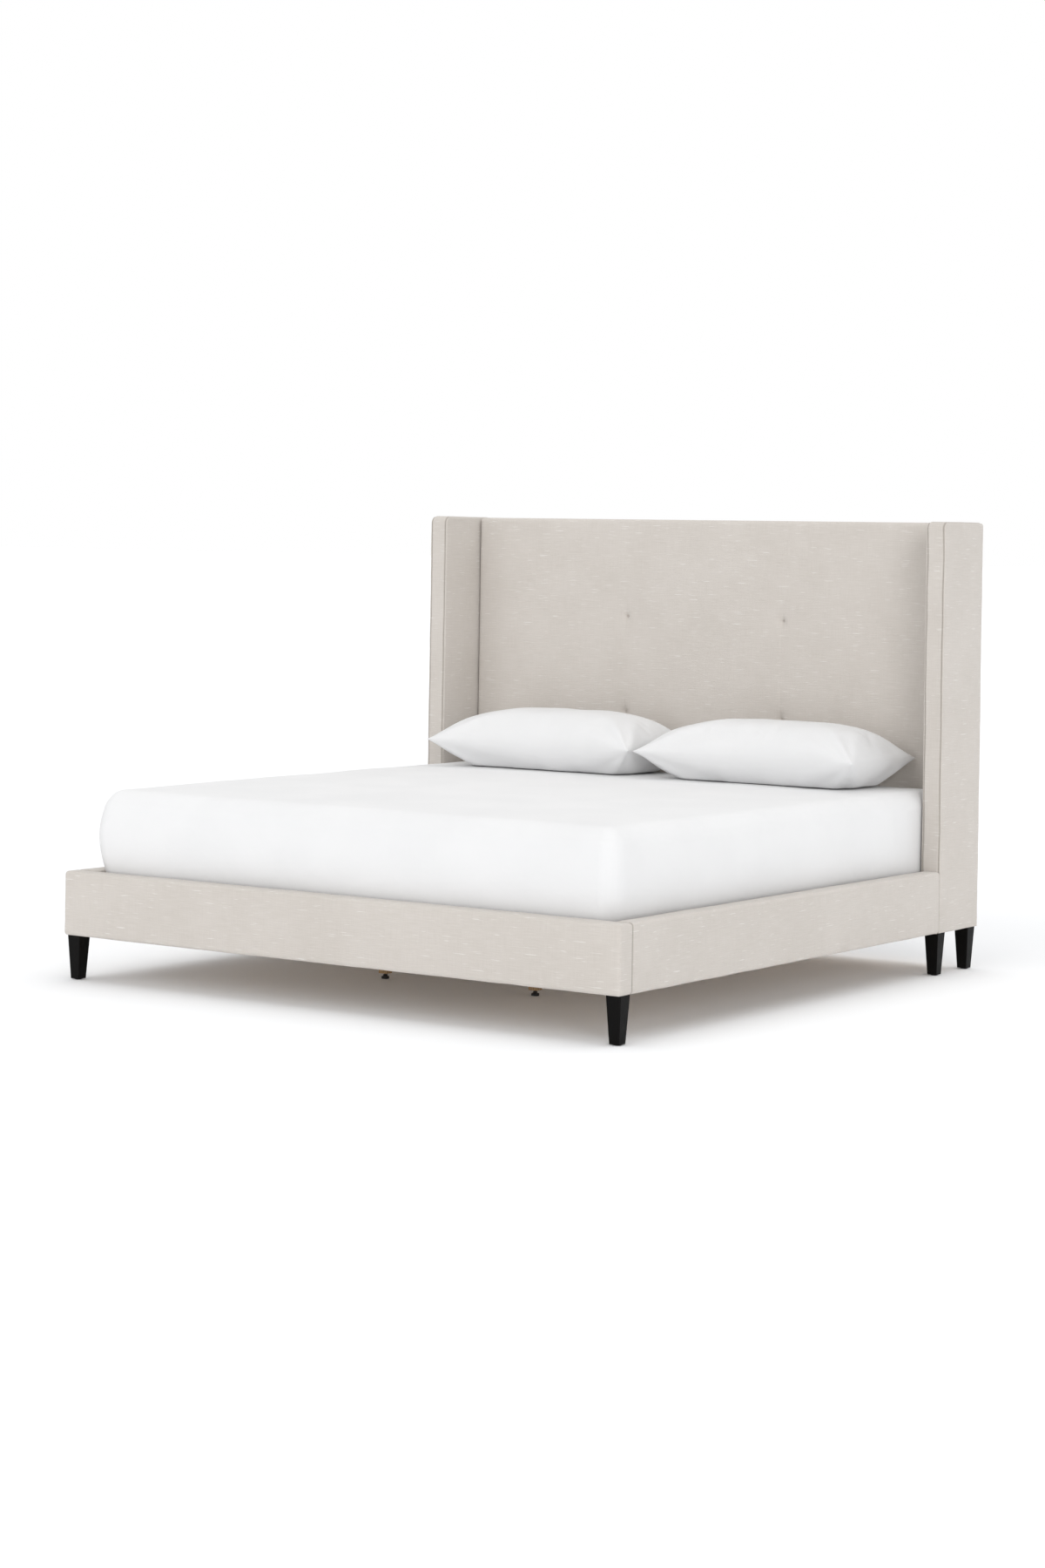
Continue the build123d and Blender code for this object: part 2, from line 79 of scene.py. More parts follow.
def gridBlock(name, low, high, cell):
    # a block with its faces divided into cells of about the given size on each axis
    deselectAll()
    low, high = Vector(low), Vector(high)
    bpy.ops.mesh.primitive_cube_add(size=1, location=(low + high) / 2)
    piece = bpy.context.object
    piece.name = name
    piece.scale = high - low
    bpy.ops.object.transform_apply(location=True, rotation=False, scale=True)
    for axis in range(3):
        cuts = max(0, round((high - low)[axis] / cell[axis]) - 1)
        if cuts:
            splitAlong(piece, axis, cuts)
    return piece


def splitAlong(piece, axis, cuts):
    # every edge that runs along the axis is cut into equal lengths
    pick(piece)
    bpy.context.tool_settings.mesh_select_mode = (False, True, False)
    bpy.ops.object.mode_set(mode="EDIT")
    bpy.ops.mesh.select_all(action="DESELECT")
    bpy.ops.object.mode_set(mode="OBJECT")
    points = readPoints(piece)
    straight = 1e-6
    for edge in piece.data.edges:
        a, b = edge.vertices
        step = np.abs(points[a] - points[b])
        edge.select = bool(step[axis] > straight and step.sum() - step[axis] < straight)
    bpy.ops.object.mode_set(mode="EDIT")
    bpy.ops.mesh.subdivide(number_cuts=cuts)
    bpy.ops.object.mode_set(mode="OBJECT")


def addLoops(piece, axis, places):
    # extra edge loops across one axis, where a rounding or a seam needs them
    pick(piece)
    bpy.ops.object.mode_set(mode="EDIT")
    normal = [0, 0, 0]
    normal[axis] = 1
    for place in places:
        centre = [0, 0, 0]
        centre[axis] = place
        bpy.ops.mesh.select_all(action="SELECT")
        bpy.ops.mesh.bisect(plane_co=centre, plane_no=normal)
    bpy.ops.object.mode_set(mode="OBJECT")


def edgeLoops(piece, low, high, steps):
    # loops at the same distances inside both faces of each axis
    for axis in range(3):
        addLoops(piece, axis, [low[axis] + s for s in steps] + [high[axis] - s for s in steps])
    mergeClose(piece, loopGap)


def roundOver(points, low, high, radius):
    # points near the edges of a block move onto rounded edges, each on the ring it was on,
    # so points inside an open end stay inside it
    inner = np.clip(points, np.array(low) + radius, np.array(high) - radius)
    away = points - inner
    length = np.maximum(np.linalg.norm(away, axis=1), tiny)
    ring = np.abs(away).max(1)
    return inner + away * (ring / length)[:, None]


def roundSides(points, low, high, radius):
    # rounds the edges round both X faces only, and leaves the outline seen from the side square
    inner = np.clip(points, np.array(low) + radius, np.array(high) - radius)
    away = points - inner
    across = np.abs(away[:, 0])
    along = np.abs(away[:, 1:]).max(1)
    length = np.maximum(np.hypot(across, along), tiny)
    return inner + away * (np.maximum(across, along) / length)[:, None]


def wander(points, size, seed):
    # a smooth random value for each point, from about -1 to 1
    return np.array([noise.noise(Vector(p) / size + Vector((seed, seed * 1.7, -seed))) for p in points])


def swell(along, flatness):
    # 1 at the middle of a span that runs from 0 to 1, and 0 at both of its ends
    return 1 - np.abs((along - 0.5) / 0.5) ** flatness


def markPaintedShade(piece, amount):
    # how deep each point lies in a seam or at a tuft's centre, for painted shade that darkens the cloth
    # there
    paintedShade = piece.data.attributes.new("paintedShade", "FLOAT", "POINT")
    paintedShade.data.foreach_set("value", np.clip(amount, 0, 1))


def smooth(piece):
    pick(piece)
    bpy.ops.object.shade_smooth()


def mergeClose(piece, distance):
    pick(piece)
    bpy.ops.object.mode_set(mode="EDIT")
    bpy.ops.mesh.select_all(action="SELECT")
    bpy.ops.mesh.remove_doubles(threshold=distance)
    bpy.ops.mesh.normals_make_consistent(inside=False)
    bpy.ops.object.mode_set(mode="OBJECT")


def applyAll(piece):
    pick(piece)
    for modifier in list(piece.modifiers):
        bpy.ops.object.modifier_apply(modifier=modifier.name)


def puffUp(piece, settings, held):
    # cloth with air inside it; a point ends no further than the cap from where it was,
    # and where it is held it moves less still
    start = readPoints(piece)
    pick(piece)
    bpy.ops.object.modifier_add(type="CLOTH")
    cloth = piece.modifiers[-1]
    cloth.settings.use_pressure = True
    cloth.settings.uniform_pressure_force = settings["pressure"]
    cloth.settings.effector_weights.gravity = 0
    cloth.settings.tension_stiffness = settings["stiffness"]
    cloth.settings.compression_stiffness = settings["stiffness"]
    cloth.settings.shear_stiffness = settings["stiffness"] / 3
    cloth.settings.bending_stiffness = settings["bendStiffness"]
    cloth.settings.shrink_min = 0.0
    cloth.point_cache.frame_start = 1
    cloth.point_cache.frame_end = settings["frames"]
    for step in range(1, settings["frames"] + 1):
        bpy.context.scene.frame_set(step)
    bpy.ops.object.modifier_apply(modifier=cloth.name)
    moved = readPoints(piece) - start
    length = np.linalg.norm(moved, axis=1)
    allowed = settings["cap"] * (1 - settings["heldShare"] * held)
    moved *= np.minimum(1, allowed / np.maximum(length, tiny))[:, None]
    writePoints(piece, start + moved)
    bpy.context.scene.frame_set(1)


class Wire:
    # a node socket that can be used in sums
    def __init__(self, paint, socket):
        self.paint = paint
        self.socket = socket

    def sum(self, operation, first, second):
        return self.paint.node("ShaderNodeMath", {"operation": operation}, {0: first, 1: second})

    def __add__(self, other):
        return self.sum("ADD", self, other)

    def __radd__(self, other):
        return self.sum("ADD", other, self)

    def __sub__(self, other):
        return self.sum("SUBTRACT", self, other)

    def __rsub__(self, other):
        return self.sum("SUBTRACT", other, self)

    def __mul__(self, other):
        return self.sum("MULTIPLY", self, other)

    def __rmul__(self, other):
        return self.sum("MULTIPLY", other, self)

    def __gt__(self, other):
        return self.sum("GREATER_THAN", self, other)

    def power(self, other):
        return self.sum("POWER", self, other)

    def sine(self):
        return self.paint.node("ShaderNodeMath", {"operation": "SINE"}, {0: self})

    def size(self):
        return self.paint.node("ShaderNodeMath", {"operation": "ABSOLUTE"}, {0: self})

    def between(self, low, high, toLow=0.0, toHigh=1.0):
        values = {"From Min": low, "From Max": high, "To Min": toLow, "To Max": toHigh, "Value": self}
        return self.paint.node("ShaderNodeMapRange", {"interpolation_type": "SMOOTHSTEP"}, values)


class Paint:
    # one material and its nodes
    def __init__(self, name):
        self.material = bpy.data.materials.new(name)
        self.material.use_nodes = True
        self.tree = self.material.node_tree
        self.shader = self.tree.nodes["Principled BSDF"]
        self.place = self.node("ShaderNodeTexCoord", {}, {}, "Object")

    def node(self, kind, settings, values, output=0):
        made = self.tree.nodes.new(kind)
        for key, value in settings.items():
            setattr(made, key, value)
        for key, value in values.items():
            if isinstance(value, Wire):
                self.tree.links.new(value.socket, made.inputs[key])
            else:
                made.inputs[key].default_value = value
        return Wire(self, made.outputs[output])

    def axes(self, vector=None):
        split = self.node("ShaderNodeSeparateXYZ", {}, {0: vector or self.place})
        outputs = split.socket.node.outputs
        return [Wire(self, outputs[i]) for i in range(3)]

    def vector(self, x, y, z):
        return self.node("ShaderNodeCombineXYZ", {}, {0: x, 1: y, 2: z})

    def grain(self, vector, scale, detail=2.0, rough=0.5):
        values = {"Vector": vector, "Scale": scale, "Detail": detail, "Roughness": rough}
        return self.node("ShaderNodeTexNoise", {}, values)

    def blend(self, factor, first, second):
        values = {0: factor, 6: first, 7: second}
        return self.node("ShaderNodeMix", {"data_type": "RGBA"}, values, 2)

    def bump(self, height, distance):
        values = {"Height": height, "Distance": distance, "Strength": 1.0}
        bumped = self.node("ShaderNodeBump", {}, values)
        self.tree.links.new(bumped.socket, self.shader.inputs["Normal"])

    def drive(self, **links):
        for key, wire in links.items():
            self.tree.links.new(wire.socket, self.shader.inputs[key.replace("_", " ")])

    def fix(self, **values):
        for key, value in values.items():
            self.shader.inputs[key.replace("_", " ")].default_value = value


def clothPlane(paint):
    # across and up on whichever way the face looks, so a weave lies flat on every side
    x, y, z = paint.axes()
    facing = paint.node("ShaderNodeTexCoord", {}, {}, "Normal")
    nx, ny, nz = paint.axes(facing)
    sideways = (nx.size() > 0.7)
    upwards = (nz.size() > 0.7)
    across = x * (1 - sideways) + y * sideways
    up = z * (1 - upwards) + y * upwards
    return across, up


linen = {
    "light": (0.668, 0.626, 0.584, 1),
    "dark": (0.572, 0.53, 0.484, 1),
    "fleck": (0.84, 0.82, 0.79, 1),
    "fleckShare": 0.6,
    "fleckRange": (0.67, 0.75),
    # the colour of the painted shade in seams and at tuft centres
    "seam": (0.2, 0.17, 0.14, 1),
    "paintedShadeShare": 0.75,
    "patchSize": 5.0,
    "slubShare": 0.45,
    "ladderShare": 0.2,
    "patchShare": 0.25,
    "weaveShare": 0.1,
    "roughnessSpread": 0.06,
    "threadPitch": 0.0016,
    "slubLength": 14,
    "slubThickness": 420,
    "fleckLength": 17,
    "fleckThickness": 260,
    "bumpDepth": 0.0006,
    "roughness": 0.92,
}


def makeLinen(settings):
    paint = Paint("oatmeal_linen")
    across, up = clothPlane(paint)
    turn = 2 * math.pi / settings["threadPitch"]
    warp = (across * turn).sine()
    weft = (up * turn).sine()
    weave = (warp * weft) * 0.5 + 0.5
    streak = paint.vector(across * settings["slubLength"], up * settings["slubThickness"], 0.0)
    slub = paint.grain(streak, 1.0, 3.0, 0.6)
    ladder = paint.vector(across * settings["slubThickness"], up * settings["slubLength"], 3.0)
    upright = paint.grain(ladder, 1.0, 2.0, 0.5)
    patch = paint.grain(paint.place, settings["patchSize"], 3.0, 0.55)
    fleck = paint.vector(across * settings["fleckLength"], up * settings["fleckThickness"], 7.0)
    knots = paint.grain(fleck, 1.0, 1.0, 0.4).between(*settings["fleckRange"])
    shade = slub.between(0.3, 0.7) * settings["slubShare"]
    shade = shade + upright.between(0.3, 0.7) * settings["ladderShare"]
    shade = shade + patch.between(0.3, 0.7) * settings["patchShare"]
    shade = shade + weave * settings["weaveShare"]
    colour = paint.blend(shade, settings["dark"], settings["light"])
    colour = paint.blend(knots * settings["fleckShare"], colour, settings["fleck"])
    # painted shade: the cloth darkens towards the seam colour in seams and at tuft centres
    paintedShade = paint.node("ShaderNodeAttribute", {"attribute_name": "paintedShade"}, {}, 2)
    colour = paint.blend(paintedShade * settings["paintedShadeShare"], colour, settings["seam"])
    spread = settings["roughnessSpread"]
    paint.drive(Base_Color=colour, Roughness=weave * spread + (settings["roughness"] - spread))
    paint.fix(Sheen_Weight=0.25, Sheen_Roughness=0.5, Specular_IOR_Level=0.2)
    paint.bump(weave * 0.5 + slub.between(0.35, 0.75) * 0.5, settings["bumpDepth"])
    return paint.material


cotton = {
    "light": (0.81, 0.81, 0.813, 1),
    "dark": (0.78, 0.781, 0.785, 1),
    "threadPitch": 0.0009,
    "mattressCrease": 0.002,
    "pillowCrease": 0.004,
}


def makeCotton(name, settings, creaseDepth):
    paint = Paint(name)
    across, up = clothPlane(paint)
    turn = 2 * math.pi / settings["threadPitch"]
    weave = (across * turn).sine() * (up * turn).sine() * 0.5 + 0.5
    patch = paint.grain(paint.place, 3.5, 4.0, 0.55)
    soft = paint.grain(paint.place, 14.0, 3.0, 0.5)
    colour = paint.blend(patch.between(0.3, 0.7) * 0.8 + weave * 0.15, settings["dark"], settings["light"])
    paint.drive(Base_Color=colour, Roughness=soft.between(0.3, 0.7, 0.8, 0.9))
    paint.fix(Sheen_Weight=0.15, Specular_IOR_Level=0.25)
    paint.bump(soft + weave * 0.04, creaseDepth)
    return paint.material


wood = {"stretch": 0.06, "warpScale": 9.0, "warpShare": 0.05, "poreScale": 900.0, "depth": 0.0003}


def makeWood(name, light, dark, along, roughness, ringPitch=0.012, coat=0.0):
    # grain lines run along one axis of the part
    paint = Paint(name)
    x, y, z = paint.axes()
    stretch = [1.0, 1.0, 1.0]
    stretch[along] = wood["stretch"]
    place = paint.vector(x * stretch[0], y * stretch[1], z * stretch[2])
    warp = paint.grain(place, wood["warpScale"], 2.0, 0.5)
    if along == 2:
        cross = x + y * 0.7
    elif along == 1:
        cross = x + z * 0.8
    else:
        cross = y + z * 0.8
    rings = ((cross + warp * wood["warpShare"]) * (2 * math.pi / ringPitch)).sine() * 0.5 + 0.5
    pores = paint.grain(place, wood["poreScale"], 2.0, 0.6)
    tone = rings.power(1.6) * 0.65 + pores.between(0.35, 0.7) * 0.35
    paint.drive(
        Base_Color=paint.blend(tone, light, dark),
        Roughness=tone.between(0, 1, roughness - 0.06, roughness + 0.08),
    )
    paint.fix(Coat_Weight=coat, Coat_Roughness=0.25)
    paint.bump(pores * 0.6 + rings * 0.4, wood["depth"])
    return paint.material


lacquer = {
    "colour": (0.004, 0.0038, 0.0036, 1),
    "worn": (0.03, 0.025, 0.021, 1),
    "wornShare": 0.35,
    "coat": 0.02,
    "shine": 0.06,
}


def makeLacquer(settings):
    # near-black lacquer over wood, a little worn along the edges
    paint = Paint("black_lacquer")
    x, y, z = paint.axes()
    place = paint.vector(x, y, z * 0.05)
    pores = paint.grain(place, 700.0, 2.0, 0.6)
    cloud = paint.grain(paint.place, 30.0, 3.0, 0.5)
    bevel = paint.node("ShaderNodeNewGeometry", {}, {}, "Pointiness")
    worn = bevel.between(0.52, 0.6) * cloud.between(0.4, 0.7)
    colour = paint.blend(worn * settings["wornShare"], settings["colour"], settings["worn"])
    paint.drive(Base_Color=colour, Roughness=cloud.between(0.2, 0.8, 0.3, 0.42))
    paint.fix(Coat_Weight=settings["coat"], Coat_Roughness=0.3, Specular_IOR_Level=settings["shine"])
    paint.bump(pores, 0.0002)
    return paint.material


zinc = {"dull": (0.5, 0.51, 0.53, 1), "bright": (0.68, 0.68, 0.67, 1), "metallic": 0.9}


def makeZinc(settings):
    paint = Paint("zinc_plate")
    cloud = paint.grain(paint.place, 160.0, 4.0, 0.6)
    scratch = paint.grain(paint.place, 900.0, 2.0, 0.5)
    colour = paint.blend(cloud.between(0.3, 0.7), settings["dull"], settings["bright"])
    paint.drive(Base_Color=colour, Roughness=scratch.between(0.3, 0.7, 0.32, 0.48))
    paint.fix(Metallic=settings["metallic"])
    paint.bump(scratch, 0.0001)
    return paint.material


nylon = {"colour": (0.016, 0.016, 0.017, 1), "scuffed": (0.035, 0.035, 0.036, 1)}


def makeNylon(settings):
    paint = Paint("black_nylon")
    grit = paint.grain(paint.place, 1200.0, 2.0, 0.5)
    scuff = paint.grain(paint.place, 90.0, 3.0, 0.6)
    colour = paint.blend(scuff.between(0.5, 0.8), settings["colour"], settings["scuffed"])
    paint.drive(Base_Color=colour, Roughness=scuff.between(0.3, 0.7, 0.42, 0.58))
    paint.bump(grit, 0.0001)
    return paint.material


backing = {"dark": (0.03, 0.03, 0.032, 1), "light": (0.06, 0.06, 0.063, 1), "threadPitch": 0.0025}


def makeBackCloth(settings):
    paint = Paint("back_cloth")
    across, up = clothPlane(paint)
    turn = 2 * math.pi / settings["threadPitch"]
    weave = (across * turn).sine() * (up * turn).sine() * 0.5 + 0.5
    fuzz = paint.grain(paint.place, 260.0, 4.0, 0.65)
    shade = fuzz.between(0.3, 0.7) * 0.7 + weave * 0.3
    colour = paint.blend(shade, settings["dark"], settings["light"])
    paint.drive(Base_Color=colour, Roughness=fuzz.between(0.2, 0.8, 0.85, 0.95))
    paint.bump(weave * 0.4 + fuzz * 0.6, 0.0005)
    return paint.material


linenCloth = makeLinen(linen)
mattressCloth = makeCotton("mattress_cotton", cotton, cotton["mattressCrease"])
pillowCloth = makeCotton("pillow_cotton", cotton, cotton["pillowCrease"])
blackLacquer = makeLacquer(lacquer)
zincPlate = makeZinc(zinc)
blackNylon = makeNylon(nylon)
backCloth = makeBackCloth(backing)
# each wood: light and dark colour, the axis its grain runs along, roughness
slatPine = ((0.72, 0.53, 0.33, 1), (0.55, 0.36, 0.2, 1))
framePine = ((0.66, 0.47, 0.28, 1), (0.48, 0.31, 0.17, 1))
plyColours = ((0.66, 0.5, 0.33, 1), (0.52, 0.37, 0.23, 1))
oakColours = ((0.62, 0.42, 0.22, 1), (0.4, 0.24, 0.11, 1))
pineAcross = makeWood("slat_pine", *slatPine, along=0, roughness=0.6)
pineLong = makeWood("frame_pine", *framePine, along=1, roughness=0.6)
pineUp = makeWood("stile_pine", *framePine, along=2, roughness=0.6)
plywood = makeWood("plywood", *plyColours, along=0, roughness=0.62, ringPitch=0.0025)
oak = makeWood("oak", *oakColours, along=2, roughness=0.45, ringPitch=0.008, coat=0.2)
print("materials made")


def dressNodes():
    # every carried-over node gets the finish of what it is made of
    finishes = [
        (("leveller", "leg_glides"), blackNylon),
        (("joint", "beam_hangers", "timber_screws", "slat_screws", "leg_bolts", "leg_tee"), zincPlate),
        (("leg_",), blackLacquer),
        (("centre_leg",), oak),
        (("headboard_stile", "wing_core"), pineUp),
        (("slat_", "foot_rail_core", "head_cleat", "headboard_top", "headboard_bottom"), pineAcross),
        (("headboard_board",), plywood),
        (("headboard_back",), backCloth),
        (("centre_beam", "ledger", "side_rail_core"), pineLong),
    ]
    for name, node in nodes.items():
        material = linenCloth
        for starts, finish in finishes:
            if name.startswith(starts):
                material = finish
                break
        node.data.materials.clear()
        node.data.materials.append(material)


def finishPiece(piece, material, body, slot, *replaced):
    piece.data.materials.clear()
    piece.data.materials.append(material)
    smooth(piece)
    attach(piece, body)
    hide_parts(*replaced)


view = {
    "place": (5.860, -8.563, 1.405),
    "turn": 34.70,
    "roll": 0.917,
    "lens": 73.48,
    "sensor": 36,
    "shiftY": -0.1556,
}


def makeCamera(settings):
    deselectAll()
    angles = (math.radians(90), math.radians(-settings["roll"]), math.radians(settings["turn"]))
    bpy.ops.object.camera_add(location=settings["place"], rotation=angles)
    camera = bpy.context.object
    camera.data.lens = settings["lens"]
    camera.data.sensor_width = settings["sensor"]
    camera.data.shift_y = settings["shiftY"]
    bpy.context.scene.camera = camera


studio = {
    "sky": 0.6,
    "keySide": 45,
    "keyHeight": 14,
    "keySoft": 24,
    "keyPower": 0.85,
    "fillSide": -15,
    "fillHeight": 22,
    "fillSoft": 60,
    "fillPower": 0.55,
    "topSide": 165,
    "topHeight": 72,
    "topSoft": 85,
    "topPower": 1.2,
    "floorSize": 400,
    "floorColour": (0.948, 0.956, 0.968, 1),
    "floorGlow": 0.045,
}
white = (1, 1, 1, 1)


def makeSun(name, side, height, soft, power):
    # side is degrees to the right of straight in front, height is degrees above the floor
    deselectAll()
    bpy.ops.object.light_add(type="SUN", location=(0, 0, 8))
    light = bpy.context.object
    light.name = name
    light.data.energy = power
    light.data.angle = math.radians(soft)
    turn, lift = math.radians(side), math.radians(height)
    away = Vector((math.sin(turn) * math.cos(lift), -math.cos(turn) * math.cos(lift), math.sin(lift)))
    light.rotation_euler = away.to_track_quat("Z", "Y").to_euler()


def makeStudio(settings):
    for sun in ("key", "fill", "top"):
        makeSun(sun, *[settings[sun + part] for part in ("Side", "Height", "Soft", "Power")])
    # white behind the bed, with the light it gives set apart from how it looks
    world = bpy.data.worlds.new("studio")
    bpy.context.scene.world = world
    world.use_nodes = True
    tree = world.node_tree
    sky = tree.nodes["Background"]
    sky.inputs["Color"].default_value = white
    sky.inputs["Strength"].default_value = settings["sky"]
    seen = tree.nodes.new("ShaderNodeBackground")
    seen.inputs["Color"].default_value = white
    ray = tree.nodes.new("ShaderNodeLightPath")
    mix = tree.nodes.new("ShaderNodeMixShader")
    tree.links.new(ray.outputs["Is Camera Ray"], mix.inputs[0])
    tree.links.new(sky.outputs[0], mix.inputs[1])
    tree.links.new(seen.outputs[0], mix.inputs[2])
    tree.links.new(mix.outputs[0], tree.nodes["World Output"].inputs["Surface"])
    deselectAll()
    bpy.ops.mesh.primitive_plane_add(size=settings["floorSize"], location=(0, 0, 0))
    floor = bpy.context.object
    floor.name = "studio_floor"
    paint = Paint("pale_floor")
    paint.fix(Base_Color=settings["floorColour"], Roughness=0.95, Specular_IOR_Level=0.0)
    paint.fix(Emission_Color=white, Emission_Strength=settings["floorGlow"])
    floor.data.materials.append(paint.material)
    bpy.context.scene.view_settings.view_transform = "Standard"


makeCamera(view)
makeStudio(studio)
print("camera and studio made")


rail = {
    "cell": (0.014, 0.014, 0.012),
    "radius": 0.011,
    "crown": 0.0022,
    "crownPower": 2.4,
    "endPower": 12,
    "ripple": 0.0011,
    "rippleSize": 0.13,
    "fineShare": 0.4,
    "steps": (0.0012, 0.0035, 0.0065, 0.011),
    "seamWidth": 0.0028,
    "seamDepth": 0.0028,
    "cornerInset": 0.004,
    "cornerFade": 0.01,
    "cornerSlack": 0.001,
}


def makeRail(name, node, seed, joinLow=False, joinHigh=False):
    # an end that meets another piece stays square, with a thin tucked seam
    low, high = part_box(node)
    piece = gridBlock(name, low, high, rail["cell"])
    edgeLoops(piece, low, high, rail["steps"])
    reach = Vector((0, rail["radius"], 0))
    openLow = low - reach if joinLow else low
    openHigh = high + reach if joinHigh else high
    points = roundOver(readPoints(piece), openLow, openHigh, rail["radius"])
    writePoints(piece, points)
    normals = readNormals(piece)
    share = (points - np.array(low)) / (np.array(high) - np.array(low))
    upShare = swell(share[:, 2], rail["crownPower"])
    longAxis = 0 if high.x - low.x > high.y - low.y else 1
    endShare = np.clip(swell(share[:, longAxis], rail["endPower"]), 0, 1)
    outward = rail["crown"] * upShare * endShare * np.abs(normals[:, 1 - longAxis])
    outward += rail["ripple"] * wander(points, rail["rippleSize"], seed) * endShare
    outward += rail["fineShare"] * rail["ripple"] * wander(points, rail["rippleSize"] / 3, seed + 5)
    seam = np.zeros(len(points))
    for joined, place in ((joinLow, low.y), (joinHigh, high.y)):
        if joined:
            seam += np.exp(-(((points[:, 1] - place) / rail["seamWidth"]) ** 2))
    points = points + normals * outward[:, None]
    # the whole section narrows a little at a joined end, so its points keep their order
    centre = (np.array(low) + np.array(high)) / 2
    half = (np.array(high) - np.array(low)) / 2
    for axis in (0, 2):
        narrower = 1 - seam * rail["seamDepth"] / half[axis]
        points[:, axis] = centre[axis] + (points[:, axis] - centre[axis]) * narrower
    writePoints(piece, points)
    # painted shade along the tucked seams at the joined ends
    markPaintedShade(piece, seam)
    return piece


def makeFootRail():
    # wraps the corners, and meets the side rails with a square edge at both ends of its back
    piece = makeRail("foot_rail_upholstery", "foot_rail_cover", 1.0)
    low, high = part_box("foot_rail_cover")
    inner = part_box("side_rail_cover_right")[0].x
    points = readPoints(piece)
    atEnd = np.clip((np.abs(points[:, 0]) - inner - rail["cornerInset"]) / rail["cornerFade"], 0, 1)
    nearBack = points[:, 1] > high.y - rail["radius"]
    # the rounding of the hidden back corner opens out again to the full width and height
    depth = np.clip((points[:, 1] - (high.y - rail["radius"])) / rail["radius"], 0, 1)
    lost = rail["radius"] * (1 - np.sqrt(np.maximum(0, 1 - depth ** 2)))
    outer = nearBack & (np.abs(points[:, 0]) > high.x - rail["radius"] - rail["cornerSlack"])
    points[outer, 0] += np.sign(points[outer, 0]) * (lost * atEnd)[outer]
    writePoints(piece, points)
    # painted shade along the back seam where it meets the side rails
    seam = np.exp(-(((points[:, 1] - high.y) / rail["seamWidth"]) ** 2)) * atEnd
    piece.data.attributes["paintedShade"].data.foreach_set("value", np.clip(seam, 0, 1))
    return piece


footRail = makeFootRail()
finishPiece(footRail, linenCloth, "frame", "upholstery", "foot_rail_cover")
for sideName in sides:
    node = "side_rail_cover_" + sideName
    seed = 3.0 + sides[sideName]
    sideRail = makeRail("side_rail_upholstery_" + sideName, node, seed, joinLow=True, joinHigh=True)
    finishPiece(sideRail, linenCloth, "frame", "upholstery", node)
print("rails made")


# a boxing band runs between the two seams of a wing
wing = {
    "cell": (0.012, 0.016, 0.014),
    "radius": 0.0055,
    "noseRadius": 0.024,
    "backRadius": 0.012,
    "faceStep": 0.0012,
    "noseSteps": (0.001, 0.003, 0.0055, 0.009, 0.014, 0.019, 0.024),
    "backSteps": (0.001, 0.003, 0.0055, 0.009, 0.014),
    "footSteps": (0.001, 0.003, 0.0055),
    "seamInset": 0.0058,
    "seamDepth": 0.0026,
    "seamWidth": 0.0023,
    "seamLoops": (-1.8, -0.9, 0, 0.9, 1.8, 3.4),
    "seamWander": 0.0026,
    "wanderSize": 0.11,
    "ridgeShare": 0.25,
    "ridgePlace": 2.4,
    "bandCrown": 0.0018,
    "panelCrown": 0.0035,
    "crownPower": 3,
    "topPower": 14,
    "bandEdge": 1.2,
    "wanderWithin": 0.75,
    "ripple": 0.001,
    "rippleSize": 0.16,
    "fineSize": 0.05,
    "fineShare": 0.5,
}


def roundNose(points, low, high, settings):
    # the front top corner, seen from the side, and a smaller one at the back
    for radius, atFront in ((settings["noseRadius"], True), (settings["backRadius"], False)):
        centreY = low.y + radius if atFront else high.y - radius
        centreZ = high.z - radius
        past = points[:, 1] < centreY if atFront else points[:, 1] > centreY
        near = past & (points[:, 2] > centreZ)
        away = np.stack([points[near, 1] - centreY, points[near, 2] - centreZ], 1)
        # how far out on its square ring each point is, so inner rings shrink too
        ring = np.abs(away).max(1)
        length = np.maximum(np.linalg.norm(away, axis=1), tiny)
        points[near, 1] = centreY + away[:, 0] * ring / length
        points[near, 2] = centreZ + away[:, 1] * ring / length
    return points


def cutWing(name, low, high):
    # a block with closer loops where the seams and the rounded corners will be
    piece = gridBlock(name, low, high, wing["cell"])
    seamSteps = [wing["seamInset"] + wing["seamWidth"] * place for place in wing["seamLoops"]]
    addLoops(piece, 0, [low.x + wing["faceStep"], high.x - wing["faceStep"]])
    addLoops(piece, 0, [low.x + s for s in seamSteps] + [high.x - s for s in seamSteps])
    addLoops(piece, 1, [low.y + s for s in wing["noseSteps"]] + [high.y - s for s in wing["backSteps"]])
    addLoops(piece, 2, [high.z - s for s in wing["noseSteps"]] + [low.z + s for s in wing["footSteps"]])
    mergeClose(piece, loopGap)
    return piece


